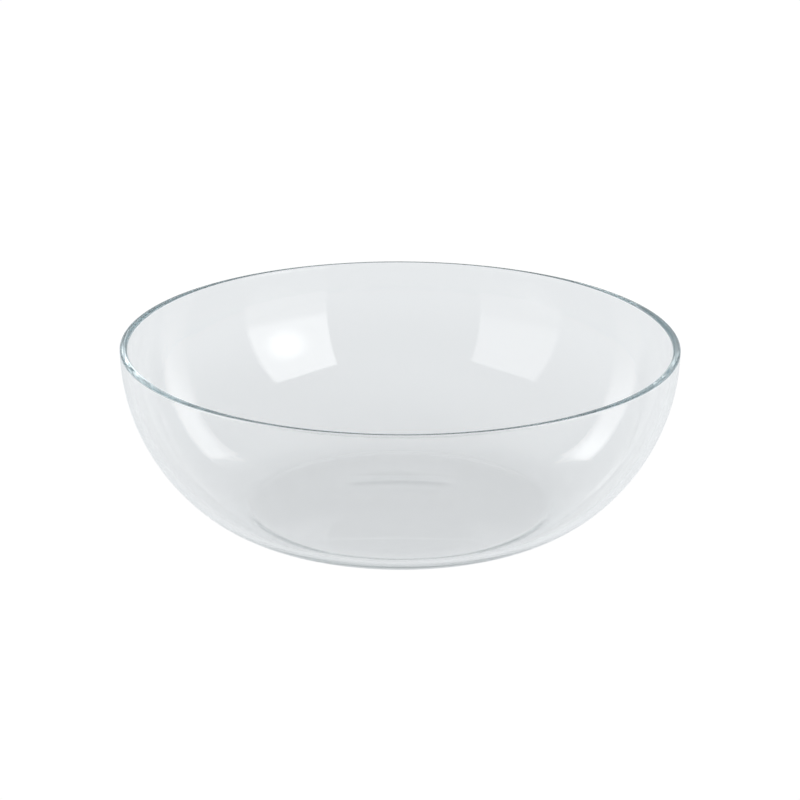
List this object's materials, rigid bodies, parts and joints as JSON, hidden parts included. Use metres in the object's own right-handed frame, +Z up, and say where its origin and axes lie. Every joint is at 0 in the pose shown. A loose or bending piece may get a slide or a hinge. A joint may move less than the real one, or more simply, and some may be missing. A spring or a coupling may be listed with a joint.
{
  "type": "crystallizing dish",
  "caption": "Wide, shallow round glass dish with curved walls, a flat foot ring and a rounded rim, for evaporating and crystallizing solutions.",
  "frame": {"origin": "centre of the foot ring, at the height of the surface the dish stands on", "axes": "+Z up along the axis of symmetry; X and Y are level and equivalent"},
  "size_m": [0.23, 0.23, 0.0752],
  "materials": {
    "clear_glass": "fire-polished"
  },
  "bodies": {
    "root": {"dish": "clear_glass"}
  },
  "joints": []
}
